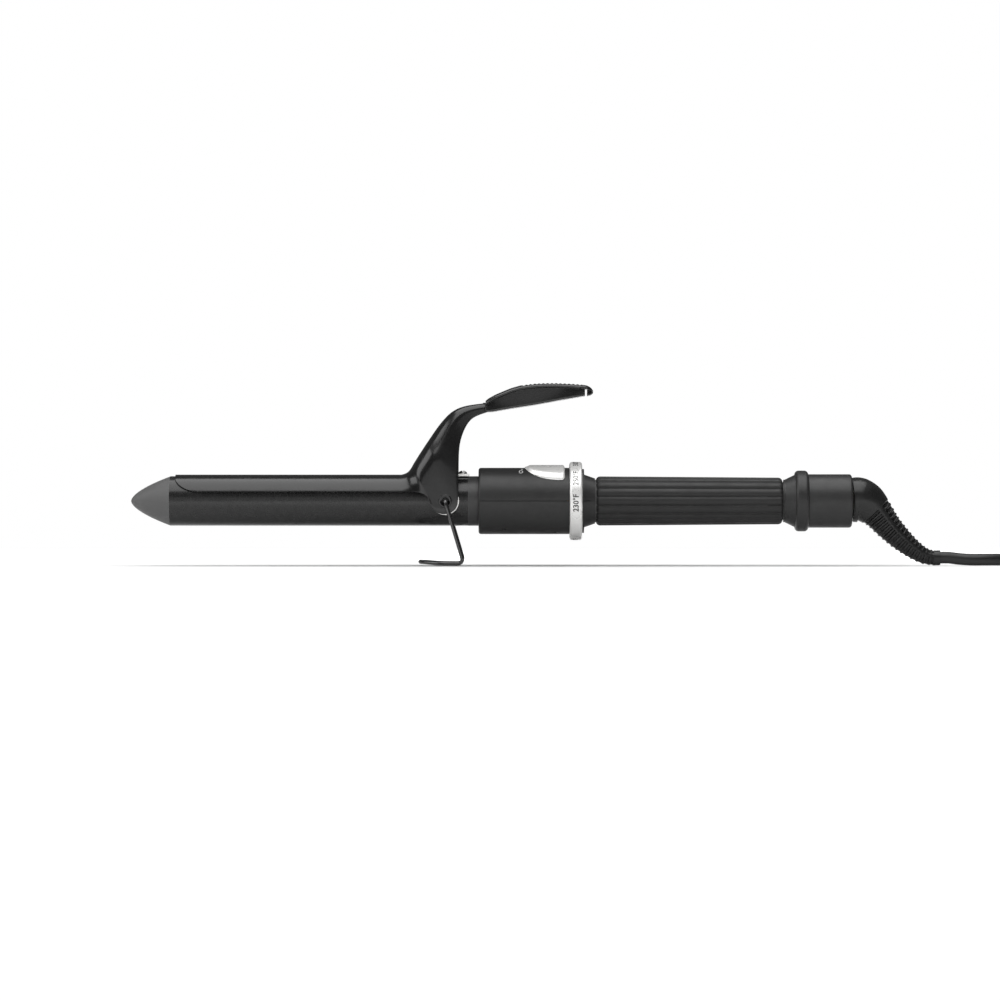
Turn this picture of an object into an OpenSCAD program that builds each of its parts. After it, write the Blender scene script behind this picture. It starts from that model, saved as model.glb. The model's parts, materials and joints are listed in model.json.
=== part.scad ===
// Curling iron with a lever clamp, a wire stand, a temperature dial and a swivel cord.
// +X runs from the cool tip to the cord, +Z is up, and the table is z = 0.
// Lengths along the iron ("s") are counted from the tip, heights from the barrel's axis.

/* [Barrel] */
// Outer diameter of the heated barrel
barrel_d = 25.4; // [25:0.1:25.6]
// Wall of the barrel tube
barrel_wall = 1.1; // [0.9:0.1:1.2]
// Length of the cool tip that stands out of the barrel
tip_length = 20.3; // [16:0.1:24]
// Length of the barrel tube
barrel_length = 152.6; // [150:0.1:154]
// Height of the barrel's axis above the table
axis_height = 33.1; // [33.1:0.1:36]

/* [Clamp] */
// Distance from the tip to the clamp's hinge axis
pivot_s = 161.3; // [160:0.1:162]
// Outer radius of the curved clamp plate
spoon_r = 13.5; // [13.5:0.1:13.7]
// Thickness of the plate where it lies on the barrel
spoon_sheet = 0.6; // [0.5:0.05:0.6]
// Depth of the plate, from its crown to its lower edges
spoon_depth = 9; // [7:0.1:9.5]
// Radius of the ears' round ends
ear_r = 6.8; // [6:0.1:7.2]

/* [Housing and dial] */
// Outer diameter of the switch housing
housing_d = 34; // [34:0.1:34.2]
// Length of the switch housing
housing_length = 46.5; // [46.5:0.1:46.6]
// Outer diameter of the temperature dial
dial_d = 40; // [38:0.5:44]
// Width of the temperature dial
dial_width = 6.4; // [6.3:0.1:6.5]

/* [Handle] */
// Diameter of the grip at its front end
grip_d = 25.2; // [24.6:0.1:26]
// Diameter of the grip at its rear end
grip_rear_d = 23.9; // [23.6:0.1:25]
// Number of long lobes round the grip
grip_lobes = 16; // [12:1:20]

/* [Stand and cord] */
// Radius of the stand's wire
wire_r = 1.2; // [1.1:0.05:1.2]
// Diameter of the cord
cord_d = 6; // [5.6:0.1:6]

/* [Hidden] */
$fn = 96;

// Stations along the iron
iron_length = 415;
barrel_r = barrel_d / 2;
bore_r = barrel_r - barrel_wall;
barrel_rear = tip_length + barrel_length;
housing_s = barrel_rear + 5.4;
housing_rear = housing_s + housing_length;
dial_s = housing_rear + 0.1;
dial_rear = dial_s + dial_width;
bezel_s = dial_rear + 0.1;
cone_rear = bezel_s + 6.6;
grip_s = cone_rear + 0.4;
grip_rear = 334.2;
ferrule_s = 334.7;
flange_s = 340.4;
swivel_s = 347.3;
swivel_rear = 369.6;
elbow_s = 370.2;
housing_r = housing_d / 2;

// Heights of layers across the hinge, from the middle outwards
strap_y = [barrel_r + 0.05, barrel_r + 0.65];
ear_y = [strap_y[1] + 0.25, strap_y[1] + 1.05];
stud_head_y = [ear_y[1] + 0.1, ear_y[1] + 0.9];
stand_y = stud_head_y[1] + 0.3 + wire_r;
stud_r = 2.9;
running_gap = 0.05;

// Spring axis and thumb rest places, from the hinge axis
spring_x = 0.5;
spring_z = 19;
tongue_z = [49.2, 50.4];
thumb_screws_s = [190, 198.5];
thumb_screw_top = 53.6;
thumb_slot_s = 233.4;

// Slide switch
switch_travel = 4;
post_s = [209, 213];

// Radius across the curved plate, which is almost flat along its crown
spoon_corner = spoon_r - 0.3;

// Arm stations from the hinge axis: web point x, z; free edge x, z; half width; corner; sheet
arm_stations = [
    [-22.5, spoon_r, -22.5, spoon_r - spoon_depth, spoon_r, spoon_corner, spoon_sheet],
    [-20.1, 14.2, -15.5, 4.8, 13.8, 12.8, 0.7],
    [-18.2, 15.8, -9, 3, 14.2, 12, 0.8],
    [-16.5, 18.7, -3.2, 4.1, 14.4, 11.5, 0.8],
    [-12.5, 25, 6.5, 5, 14.2, 11.3, 0.8],
    [-8, 31.9, 6.6, 16, 12.8, 10.8, 0.8],
    [-4, 37.8, 6.9, 26, 11.2, 9.4, 0.8],
    [0.5, 43.2, 8, 32.4, 9.6, 7.4, 0.8],
    [4.7, 46.6, 10.7, 38.9, 8.4, 5.5, 0.8],
    [10.7, 48.9, 14.5, 43.2, 7.4, 4, 0.8],
    [20.5, 50.1, 21.5, 45.6, 6.6, 3, 0.8]
];

// Elbow and strain relief: s, height, radius
relief_stations = [
    [elbow_s, 0.6, 11.5], [374, 0.4, 11.4], [378, -1.6, 10.4], [383, -6.4, 8.5],
    [388.3, -12.8, 7.2], [394.5, -19.1, 6.2], [400.5, -24.2, 5.2], [406, -27.7, 4.4],
    [411, -29.1, 3.9], [iron_length, -29.1, 3.9]
];

// Cord: its route from the strain relief to the hank, and from the hank to the plug
relief_x = iron_length / 2;
run_route = [
    [relief_x + 0.3, 0, 4], [212, 0, 4], [217, 0, 3.4], [223, 0.1, 3], [230, 0.8, 3], [237, 2.7, 3],
    [244, 6, 3], [252, 12, 3], [260, 18, 3], [267, 21.3, 3], [274, 23.2, 3], [282, 24, 3]
];
tail_route = [
    [319, 16, 19], [329, 12.6, 22.6], [337, 9.4, 25.4], [342, 8.1, 26.2], [345.9, 8, 26.2]
];
hank_x = [299, 399];
hank_r = 27;
hank_height = 18.6;
hank_entry_x = 282;
tie_x = [386, 398];
plug_x = [346, 381];
plug_size = [24, 15];

// Path and loft functions
function unit(v) = v / norm(v);
function curve_at(a, b, c, d, t) =
    0.5 * (2 * b + (c - a) * t + (2 * a - 5 * b + 4 * c - d) * t * t
    + (3 * b - a - 3 * c + d) * t * t * t);
function smooth(p, steps) = concat(
    [for (i = [0:len(p) - 2], k = [0:steps - 1])
        curve_at(p[max(i - 1, 0)], p[i], p[i + 1], p[min(i + 2, len(p) - 1)], k / steps)],
    [p[len(p) - 1]]);
function bend(a, v, c, reach, steps) =
    let (u = min(reach, norm(v - a) / 2), w = min(reach, norm(c - v) / 2),
        p = v + unit(a - v) * u, q = v + unit(c - v) * w)
    [for (k = [0:steps]) let (t = k / steps)
        p * (1 - t) * (1 - t) + v * 2 * t * (1 - t) + q * t * t];
function rounded(p, reach, steps) = concat([p[0]],
    [for (i = [1:len(p) - 2]) each bend(p[i - 1], p[i], p[i + 1], reach, steps)],
    [p[len(p) - 1]]);
function tangents(p) =
    [for (i = [0:len(p) - 1]) unit(p[min(i + 1, len(p) - 1)] - p[max(i - 1, 0)])];
function carried(t, n, i = 0) = i == len(t) ? []
    : let (m = unit(n - (n * t[i]) * t[i])) concat([m], carried(t, m, i + 1));

// A tube along path p; r holds one radius for each of its points
module swept(p, r, sides, first_normal = [0, 0, 1]) {
    t = tangents(p);
    n = carried(t, first_normal);
    points = [for (i = [0:len(p) - 1], k = [0:sides - 1])
        p[i] + r[i] * (n[i] * cos(360 * k / sides) + cross(t[i], n[i]) * sin(360 * k / sides))];
    last = (len(p) - 1) * sides;
    walls = [for (i = [0:len(p) - 2], k = [0:sides - 1])
        let (a = i * sides + k, b = i * sides + (k + 1) % sides)
        each [[a, b + sides, b], [a, a + sides, b + sides]]];
    ends = [[for (k = [0:sides - 1]) k], [for (k = [0:sides - 1]) last + sides - 1 - k]];
    polyhedron(points, concat(walls, ends), convexity = 8);
}

module wire(p, radius, sides, first_normal = [0, 0, 1]) {
    swept(p, [for (q = p) radius], sides, first_normal);
}

// Places something given as [s, y, height from the axis] in the iron's own frame
module on_axis() {
    translate([-iron_length / 2, 0, axis_height]) children();
}

// A turned solid round the barrel's axis, from [radius, s] points
module turned(outline) {
    rotate([0, 90, 0]) rotate_extrude() polygon(outline);
}

module ring(s, radii) {
    turned([[radii[0], s[0]], [radii[1], s[0]], [radii[1], s[1]], [radii[0], s[1]]]);
}

module slab(s, y, z) {
    translate([s[0], y[0], z[0]]) cube([s[1] - s[0], y[1] - y[0], z[1] - z[0]]);
}

module pin_y(s, z, y, r) {
    translate([s, y[0], z]) rotate([-90, 0, 0]) cylinder(h = y[1] - y[0], r = r);
}

module pin_z(s, y, z, r) {
    translate([s, y, z[0]]) cylinder(h = z[1] - z[0], r = r);
}

module pin_x(s, y, z, r) {
    translate([s[0], y, z]) rotate([0, 90, 0]) cylinder(h = s[1] - s[0], r = r);
}

module both_sides() {
    children();
    mirror([0, 1, 0]) children();
}

// Barrel and heater
function tip_r(s) = (barrel_r - 0.05) * pow(s / tip_length, 0.6);

module cool_tip() {
    nose = [for (k = [0:12]) let (s = tip_length * pow(k / 12, 1.5)) [tip_r(s), s]];
    color([0.33, 0.33, 0.34]) on_axis() turned(concat(nose,
        [[bore_r - 0.05, tip_length], [bore_r - 0.05, tip_length + 8.7], [0, tip_length + 8.7]]));
}

module tip_insulator() {
    color("white") on_axis() ring([tip_length + 8.7, tip_length + 12.7], [0, bore_r - 0.1]);
}

module barrel() {
    color([0.14, 0.14, 0.15]) on_axis() difference() {
        ring([tip_length, barrel_rear], [bore_r, barrel_r]);
        pin_z(170.2, 0, [5, 20], 1.25);
    }
}

heater_s = [33, 148];
heater_plate_s = [40, 140];
plate_half = 1.3;

module heater_shell(side) {
    half = side > 0 ? [plate_half, 20] : [-20, -plate_half];
    on_axis() difference() {
        intersection() {
            ring(heater_s, [0, bore_r - 0.1]);
            slab(heater_s, [-20, 20], half);
        }
        pin_x([heater_s[1] - 10, heater_s[1] + 1], 0, side * 6, 1.65);
    }
}

module heater_shell_upper() {
    color("silver") heater_shell(1);
}

module heater_shell_lower() {
    color("silver") heater_shell(-1);
}

module heater_plate() {
    color("tan") on_axis() slab(heater_plate_s, [-6.5, 6.5], [-plate_half, plate_half]);
}

module thermal_fuse() {
    color("gainsboro") on_axis() {
        pin_x([heater_s[1] - 10, heater_s[1] - 0.5], 0, -6, 1.6);
        pin_x([heater_s[1] - 0.6, heater_s[1] + 6], 0, -6, 0.5);
    }
}

module temperature_sensor() {
    color("orange") on_axis() {
        pin_x([heater_s[1] - 10, heater_s[1] - 2], 0, 6, 1.6);
        both_sides() pin_x([heater_s[1] - 2.1, heater_s[1] + 6], 0.8, 6, 0.4);
    }
}

module heater_leads() {
    route = [[heater_plate_s[1], 4, 0], [178, 4, 0], [188, 5, -3], [195, 6, -6.7]];
    color("white") on_axis() both_sides() wire(rounded(route, 4, 3), 0.7, 8);
}

module barrel_collar() {
    color([0.3, 0.3, 0.31]) on_axis() difference() {
        union() {
            ring([barrel_rear - 10, barrel_rear], [10.4, bore_r - 0.05]);
            ring([barrel_rear, housing_s], [10.4, barrel_r]);
            ring([housing_s, housing_s + 11.5], [10.4, 12]);
            ring([housing_s + 2, housing_s + 3.6], [10.4, 14]);
        }
        pin_z(170.2, 0, [5, 20], 1.25);
    }
}

// Hinge: a strap round the barrel carries two studs, the spring's pin and a screwed tab
module hinge_bracket() {
    s = [pivot_s - 6.5, pivot_s + 6.5];
    color("silver") on_axis() difference() {
        union() {
            intersection() {
                ring(s, [strap_y[0], strap_y[1]]);
                slab(s, [-20, 20], [0, 20]);
            }
            both_sides() intersection() {
                pin_y(pivot_s, 0, strap_y, 7.1);
                slab([pivot_s - 7.1, pivot_s + 7.1], strap_y, [-8, 3]);
            }
            slab([pivot_s + 6, 173.6], [-4, 4], [strap_y[0], strap_y[0] + 1.2]);
            both_sides() {
                slab([pivot_s - 4, pivot_s + 5], [5.2, 6], [12.2, spring_z]);
                pin_y(pivot_s + spring_x, spring_z, [5.2, 6], 3.6);
            }
        }
        pin_y(pivot_s, 0, [-20, 20], stud_r + 0.02);
        pin_y(pivot_s + spring_x, spring_z, [-20, 20], 1.55);
        pin_z(170.2, 0, [5, 20], 1.25);
    }
}

module bracket_screw() {
    top = strap_y[0] + 1.2;
    color("gainsboro") on_axis() {
        pin_z(170.2, 0, [9.6, top + 0.1], 1.2);
        difference() {
            intersection() {
                pin_z(170.2, 0, [top, top + 1.65], 2.15);
                translate([170.2, 0, top - 1.2]) sphere(r = 2.85);
            }
            slab([168, 173], [-0.25, 0.25], [top + 1, top + 3]);
            slab([169.95, 170.45], [-3, 3], [top + 1, top + 3]);
        }
    }
}

module pivot_stud() {
    difference() {
        union() {
            pin_y(pivot_s, 0, [strap_y[0] + 0.02, stud_head_y[0] + 0.1], stud_r);
            pin_y(pivot_s, 0, [strap_y[1], strap_y[1] + 0.15], 3.4);
            pin_y(pivot_s, 0, stud_head_y, 3.4);
        }
        pin_y(pivot_s, 0, [strap_y[0] + 0.3, 30], wire_r + running_gap);
        pin_y(pivot_s, 0, [stud_head_y[1] - 0.5, 30], 2);
    }
}

module pivot_stud_near() {
    color([0.25, 0.25, 0.26]) on_axis() mirror([0, 1, 0]) pivot_stud();
}

module pivot_stud_far() {
    color([0.25, 0.25, 0.26]) on_axis() pivot_stud();
}

module spring_pin() {
    color("silver") on_axis() {
        pin_y(pivot_s + spring_x, spring_z, [-7, 7], 1.5);
        both_sides() pin_y(pivot_s + spring_x, spring_z, [6.02, 7], 2.3);
    }
}

module clamp_spring() {
    turns = 8;
    coil_r = 2.6;
    coil = [for (k = [0:turns * 12]) let (a = 30 * k)
        [spring_x + coil_r * cos(a), -4.4 + 8.8 * k / (turns * 12), spring_z + coil_r * sin(a)]];
    up = rounded([[0.4, -4.4, 40.6], [4.6, -4.4, 31], coil[0]], 4, 3);
    back = rounded([coil[turns * 12], [spring_x + coil_r, 4.4, 16.5], [6, 4.4, 14.6]], 1.5, 3);
    path = concat([for (k = [0:len(up) - 2]) up[k]], coil, [for (k = [1:len(back) - 1]) back[k]]);
    color("gainsboro") on_axis() translate([pivot_s, 0, 0]) wire(path, 0.5, 8, [0, 1, 0]);
}

// The clamp's sheet: half of its section as [across, depth] points, d deep
function section_y(w, c, h) = h < c ? w - c + sqrt(c * c - (c - h) * (c - h)) : w;
function half_section(w, c, d, sheet, steps = 9) =
    let (turn = acos(1 - min(0.92 * d, c) / c))
    concat([for (k = [0:steps]) let (a = turn * k / steps)
        [w - c + (c - sheet) * sin(a), sheet + (c - sheet) * (1 - cos(a))]],
        [[section_y(w, c, d) - sheet, d]]);
function mirrored(half) = concat(
    [for (k = [len(half) - 1:-1:0]) [-half[k][0], half[k][1]]],
    [for (q = half) q]);
function sheet_section(w, c, d, sheet) =
    let (outer = mirrored(half_section(w, c, d, 0)), inner = mirrored(half_section(w, c, d, sheet)))
    concat(outer, [for (k = [len(inner) - 1:-1:0]) inner[k]]);
function placed_section(q) =
    let (web = [q[0], 0, q[1]], reach = [q[2] - q[0], 0, q[3] - q[1]], down = unit(reach))
    [for (v = sheet_section(q[4], q[5], norm(reach), q[6])) web + [0, v[0], 0] + down * v[1]];

module lofted(sections) {
    m = len(sections[0]);
    last = (len(sections) - 1) * m;
    walls = [for (i = [0:len(sections) - 2], k = [0:m - 1])
        let (a = i * m + k, b = i * m + (k + 1) % m)
        each [[a, b, b + m], [a, b + m, a + m]]];
    near_end = [for (k = [0:m / 2 - 2])
        each [[k + 1, k, m - 1 - k], [k + 1, m - 1 - k, m - 2 - k]]];
    far_end = [for (f = near_end) [last + f[0], last + f[2], last + f[1]]];
    polyhedron([for (q = sections) each q], concat(walls, near_end, far_end), convexity = 10);
}

spoon_front = 22.8;
spoon_round = 14.1;

module clamp() {
    front = [for (k = [0:8]) let (a = 10 + 10 * k, x = spoon_front + spoon_round * (1 - cos(a)) - pivot_s)
        [x, spoon_r, x, spoon_r - spoon_depth * sin(a), spoon_r, spoon_corner, spoon_sheet]];
    arm = smooth(arm_stations, 3);
    color([0.2, 0.2, 0.21]) on_axis() {
        translate([pivot_s, 0, 0]) lofted([for (q = concat(front, arm)) placed_section(q)]);
        both_sides() difference() {
            union() {
                pin_y(pivot_s, 0, ear_y, ear_r);
                translate([pivot_s, ear_y[1], 0]) rotate([90, 0, 0]) linear_extrude(ear_y[1] - ear_y[0])
                    polygon([[-6.3, -2.6], [-9, 2.6], [-12, 4.6], [-9, 12], [6.6, 16], [6.6, -1.5]]);
            }
            pin_y(pivot_s, 0, [0, 20], stud_r + running_gap);
        }
        difference() {
            slab([pivot_s + 14, 206], [-5.8, 5.8], tongue_z);
            for (s = thumb_screws_s) pin_z(s, 0, [40, 60], 1.3);
        }
    }
}

// Thumb rest: its side outline and its plan outline cut each other
thumb_top = smooth([[182, 51.7], [190.8, 56.2], [199.5, 59.3], [208, 60.3], [218.3, 60.5],
    [228, 60.1], [234.6, 59], [237.1, 55.6]], 4);
thumb_bottom = [[234, 54], [222, 52.2], [206.5, 49.1], [194.7, 47.3], [182, 45.4]];

module thumb_side(outline, half_width) {
    translate([0, half_width, 0]) rotate([90, 0, 0]) linear_extrude(2 * half_width) polygon(outline);
}

module thumb_rest() {
    hollow = [[180, 44], [186, 46], [233, 53], [230.5, 57.4], [218, 58.4], [207, 58], [197, 55.8],
        [186.6, 51.2], [180, 51.2]];
    color([0.12, 0.12, 0.13]) on_axis() difference() {
        intersection() {
            thumb_side(concat(thumb_top, thumb_bottom), 12);
            translate([0, 0, 40]) linear_extrude(30) polygon(concat(
                [[181, -8.2], [200, -9]],
                [for (a = [-90:15:90]) [228.7 + 9 * cos(a), 9 * sin(a)]],
                [[200, 9], [181, 8.2]]));
        }
        difference() {
            thumb_side(hollow, 7);
            for (s = thumb_screws_s) pin_z(s, 0, [tongue_z[1], 70], 2.5);
        }
        slab([thumb_slot_s - 0.7, thumb_slot_s + 0.7], [-12, 12], [50, 57.3]);
        for (s = thumb_screws_s) pin_z(s, 0, [40, thumb_screw_top + 0.3], 1.25);
    }
}

module thumb_rest_screws() {
    color("silver") on_axis() for (s = thumb_screws_s) {
        pin_z(s, 0, [tongue_z[0] - 0.1, thumb_screw_top], 1.2);
        pin_z(s, 0, [tongue_z[0] - 1.2, tongue_z[0]], 2.2);
    }
}

foot_z = wire_r - axis_height;

module wire_stand() {
    near = [[0, -strap_y[0] - 0.5, 0], [0, -stand_y, 0], [9.6, -stand_y, foot_z],
        [-3, -stand_y + 0.4, foot_z], [-12.9, -8, foot_z], [-12.9, 0, foot_z]];
    far = [for (k = [len(near) - 2:-1:0]) [near[k][0], -near[k][1], near[k][2]]];
    color([0.1, 0.1, 0.1]) on_axis() translate([pivot_s, 0, 0])
        wire(rounded(concat(near, far), 4, 5), wire_r, 12, [1, 0, 0]);
}

// Switch housing in two halves, which also hold the dial's journal and the cone behind it
journal_r = 13;
seam = [-0.2, 0.2];
core_r = 10.9;

module housing_solid() {
    edge = 1.3;
    difference() {
        turned(concat(
            [[12.05, housing_s]],
            [for (a = [0:15:90]) [housing_r - edge + edge * sin(a), housing_s + edge * (1 - cos(a))]],
            [[housing_r, housing_rear], [journal_r, housing_rear], [journal_r, bezel_s],
            [16.4, bezel_s], [16.4, bezel_s + 0.9], [13.6, bezel_s + 0.9], [11.6, cone_rear],
            [core_r + 0.1, cone_rear], [core_r + 0.1, housing_rear - 2], [15, housing_rear - 2],
            [15, housing_s + 2], [12.05, housing_s + 2]]));
        ring([housing_rear - 1.5, housing_rear + 0.01], [13.4, 16.2]);
        both_sides() {
            slab([housing_s, housing_rear], [housing_r - 1, housing_r + 1], seam);
            slab([bezel_s, cone_rear], [core_r + 0.8, 17], seam);
        }
    }
}

module housing_upper() {
    color([0.16, 0.16, 0.17]) on_axis() difference() {
        intersection() {
            housing_solid();
            slab([housing_s, cone_rear], [-20, 20], [0, 20]);
        }
        slab([post_s[0] - switch_travel - 0.3, post_s[1] + 0.3], [-2.3, 2.3], [10, 20]);
    }
}

board_z = [-9, -7.4];
screw_places = [[191.3, 8.2], [217, 5.3]];

module housing_lower() {
    color([0.15, 0.15, 0.16]) on_axis() difference() {
        union() {
            intersection() {
                housing_solid();
                slab([housing_s, cone_rear], [-20, 20], [-20, 0]);
            }
            intersection() {
                ring([193, 216], [0, 15.5]);
                union() for (s = [193, 213]) slab([s, s + 2], [-16, 16], [-16, board_z[0]]);
            }
        }
        for (q = screw_places) both_sides() pin_z(q[0], q[1], [-20, 5], 1.25);
    }
}

module housing_screws() {
    color("gray") on_axis() for (q = screw_places) both_sides() pin_z(q[0], q[1], [-10, -0.5], 1.2);
}

module circuit_board() {
    color("darkgreen") on_axis() {
        slab([193, 215.4], [-11, 11], board_z);
        slab([196, 203], [-6, -1], [board_z[1], -1]);
        pin_z(200, 4, [board_z[1], 0], 2.6);
    }
}

module switch_body() {
    color("dimgray") on_axis() difference() {
        union() {
            slab([203, 218], [-5, 5], [3, 11.5]);
            for (s = [205, 214]) slab([s, s + 2], [-4, 4], [board_z[1], 3]);
        }
        slab([post_s[0] - 0.7 - switch_travel, post_s[1] + 0.7], [-2.5, 2.5], [8.9, 13]);
    }
}

module switch_actuator() {
    color("ivory") on_axis() slab([post_s[0] - 0.5, post_s[1] + 0.5], [-2.4, 2.4], [9, 12.7]);
}

module switch_slider() {
    outline = [[202, 19], [202, 17.2], [204, 15.2], [206.8, 13.5], [210, 12.2], [213.5, 11.4],
        [217.8, 10.9], [221.9, 10.9], [222.5, 12.6], [221.6, 19]];
    color([0.78, 0.78, 0.76]) on_axis() {
        intersection() {
            ring([200, 224], [housing_r + 0.15, housing_r + 1.3]);
            translate([0, 20, 0]) rotate([90, 0, 0]) linear_extrude(40) polygon(outline);
        }
        slab(post_s, [-2, 2], [12.7, housing_r + 0.5]);
    }
}

// Temperature dial, the contact it carries and the resistance track that the contact wipes
module dial_ring() {
    r = dial_d / 2;
    edge = 1.2;
    color([0.75, 0.74, 0.72]) on_axis() difference() {
        turned(concat(
            [[journal_r + 0.1, dial_s]],
            [for (a = [0:15:90]) [r - edge + edge * sin(a), dial_s + edge * (1 - cos(a))]],
            [for (a = [0:15:90]) [r - edge + edge * cos(a), dial_rear - edge + edge * sin(a)]],
            [[journal_r + 0.1, dial_rear]]));
        slab([dial_s - 1, dial_s + 1], [-2.1, 2.1], [13.7, 16.1]);
    }
}

module dial_wiper() {
    color("goldenrod") on_axis() slab([dial_s - 0.25, dial_s + 1], [-2, 2], [13.8, 16]);
}

module dial_track() {
    color("sienna") on_axis() ring([housing_rear - 1.5, housing_rear - 0.3], [13.5, 16.1]);
}

module mains_leads() {
    route = [[351.5, 7.3, 0], [222, 7.3, 0], [218, 7.8, -2], [213.5, 8, -6.5]];
    color("black") on_axis() both_sides() wire(rounded(route, 3, 3), 0.9, 8);
}

// Handle
module handle_core() {
    color("dimgray") on_axis() {
        ring([housing_rear - 2 - 2.8, housing_rear - 2], [9, 14.5]);
        ring([housing_rear - 2, 326], [9, core_r]);
        ring([326, 341], [9, 9.6]);
    }
}

module handle_grip() {
    lobe_depth = 0.75;
    facets = 6;
    r = grip_d / 2;
    length = grip_rear - grip_s;
    outline = [for (k = [0:grip_lobes * facets - 1])
        let (a = 360 * k / (grip_lobes * facets),
            h = abs(sin(180 * (k % facets) / facets)))
        (r - lobe_depth + lobe_depth * sqrt(h)) * [cos(a), sin(a)]];
    color([0.2, 0.2, 0.21]) on_axis() difference() {
        union() {
            translate([grip_s, 0, 0]) rotate([0, 90, 0])
                linear_extrude(length, scale = grip_rear_d / grip_d) polygon(outline);
            ring([cone_rear, ferrule_s], [core_r, 11.4]);
        }
        ring([cone_rear - 1, 340], [0, core_r + 0.05]);
    }
}

module rear_ferrule() {
    edge = 2;
    r = 15.6;
    color([0.17, 0.17, 0.18]) on_axis() turned(concat(
        [[9.65, ferrule_s], [10.9, ferrule_s], [10.9, ferrule_s + 0.5], [13.4, flange_s]],
        [for (a = [0:15:90]) [r - edge + edge * sin(a), flange_s + edge * (1 - cos(a))]],
        [for (a = [0:15:90]) [r - edge + edge * cos(a), swivel_s - edge + edge * sin(a)]],
        [[11.95, swivel_s], [11.95, 352], [8.6, 352], [8.6, 341], [9.65, 341]]));
}

module swivel_housing() {
    edge = 1.3;
    r = 13.7;
    color([0.18, 0.18, 0.19]) on_axis() turned(concat(
        [[12, swivel_s], [r, swivel_s]],
        [for (a = [0:15:90]) [r - edge + edge * cos(a), swivel_rear - edge + edge * sin(a)]],
        [[6.1, swivel_rear], [6.1, swivel_rear - 2], [12, swivel_rear - 2]]));
}

contact_s = [[355.5, 357], [360.5, 362]];

module brush_holder() {
    color("ivory") on_axis() ring([352, 363.5], [9, 11.95]);
}

module brush_contacts() {
    color("peru") on_axis() for (s = contact_s) slab(s, [-1.5, 1.5], [6.35, 8.87]);
}

module swivel_stem() {
    color([0.85, 0.85, 0.8]) on_axis() turned([[3, 353.2], [5, 353.2], [5, 364.8], [8.5, 364.8],
        [8.5, 367.4], [6.05, 367.4], [6.05, 376], [3, 376]]);
}

module slip_rings() {
    color("peru") on_axis() for (s = contact_s) ring([s[0] - 0.5, s[1] + 0.5], [5.02, 6.2]);
}

module swivel_clip() {
    color("silver") on_axis() difference() {
        ring([353.4, 354.2], [5.02, 7]);
        slab([353, 355], [-1.5, 1.5], [0, 8]);
    }
}

module strain_relief() {
    q = smooth(relief_stations, 4);
    path = [for (v = q) [v[0], 0, v[1]]];
    color([0.13, 0.13, 0.14]) on_axis() difference() {
        swept(path, [for (v = q) v[2]], 32, [0, 1, 0]);
        pin_x([elbow_s - 1, 376.05], 0, 0, 6.1);
    }
}

// Cord, put away as a tied hank in line with the iron, with the plug lying on it
module cord_run() {
    color([0.1, 0.1, 0.1]) wire(smooth(run_route, 2), cord_d / 2, 10);
}

module cord_hank() {
    color([0.1, 0.1, 0.1]) {
        for (x = hank_x) translate([x, 0, 0]) cylinder(h = hank_height, r = hank_r);
        translate([hank_x[0], -hank_r, 0]) cube([hank_x[1] - hank_x[0], 2 * hank_r, hank_height]);
        translate([hank_entry_x, 20.5, 0]) cube([hank_x[0] - hank_entry_x, 6.5, 6.5]);
    }
}

module cord_tail() {
    color([0.1, 0.1, 0.1]) wire(smooth(tail_route, 3), cord_d / 2, 10);
}

module cord_tie() {
    wall = 1.4;
    width = tie_x[1] - tie_x[0];
    color("black") difference() {
        translate([tie_x[0], -hank_r - wall, 0]) cube([width, 2 * (hank_r + wall), hank_height + wall]);
        translate([tie_x[0] - 1, -hank_r, -1]) cube([width + 2, 2 * hank_r, hank_height + 1]);
    }
}

plug_y = 8;
plug_z = hank_height + 0.1 + plug_size[1] / 2;

module plug_body() {
    color([0.12, 0.12, 0.12]) translate([0, plug_y, plug_z]) hull() {
        translate([plug_x[1] - 16, -plug_size[0] / 2 + 3, -plug_size[1] / 2])
            cube([16, plug_size[0] - 6, plug_size[1]]);
        translate([plug_x[1] - 16, -plug_size[0] / 2, -plug_size[1] / 2 + 3])
            cube([16, plug_size[0], plug_size[1] - 6]);
        pin_x([plug_x[0], plug_x[0] + 1], 0, 0, 4);
    }
}

module plug_blades() {
    color("silver") translate([plug_x[1], plug_y, plug_z]) both_sides()
        translate([0, 5.6, -3.2]) cube([17, 1.5, 6.4]);
}

cool_tip();
tip_insulator();
barrel();
heater_shell_upper();
heater_shell_lower();
heater_plate();
thermal_fuse();
temperature_sensor();
heater_leads();
barrel_collar();
hinge_bracket();
bracket_screw();
pivot_stud_near();
pivot_stud_far();
spring_pin();
clamp_spring();
clamp();
thumb_rest();
thumb_rest_screws();
wire_stand();
housing_upper();
housing_lower();
housing_screws();
circuit_board();
switch_body();
switch_actuator();
switch_slider();
dial_ring();
dial_wiper();
dial_track();
mains_leads();
handle_core();
handle_grip();
rear_ferrule();
swivel_housing();
brush_holder();
brush_contacts();
swivel_stem();
slip_rings();
swivel_clip();
strain_relief();
cord_run();
cord_hank();
cord_tail();
cord_tie();
plug_body();
plug_blades();
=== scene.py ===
"""Looks of the curling iron: shells, cord, grip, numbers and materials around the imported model."""
import json
import math

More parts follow.
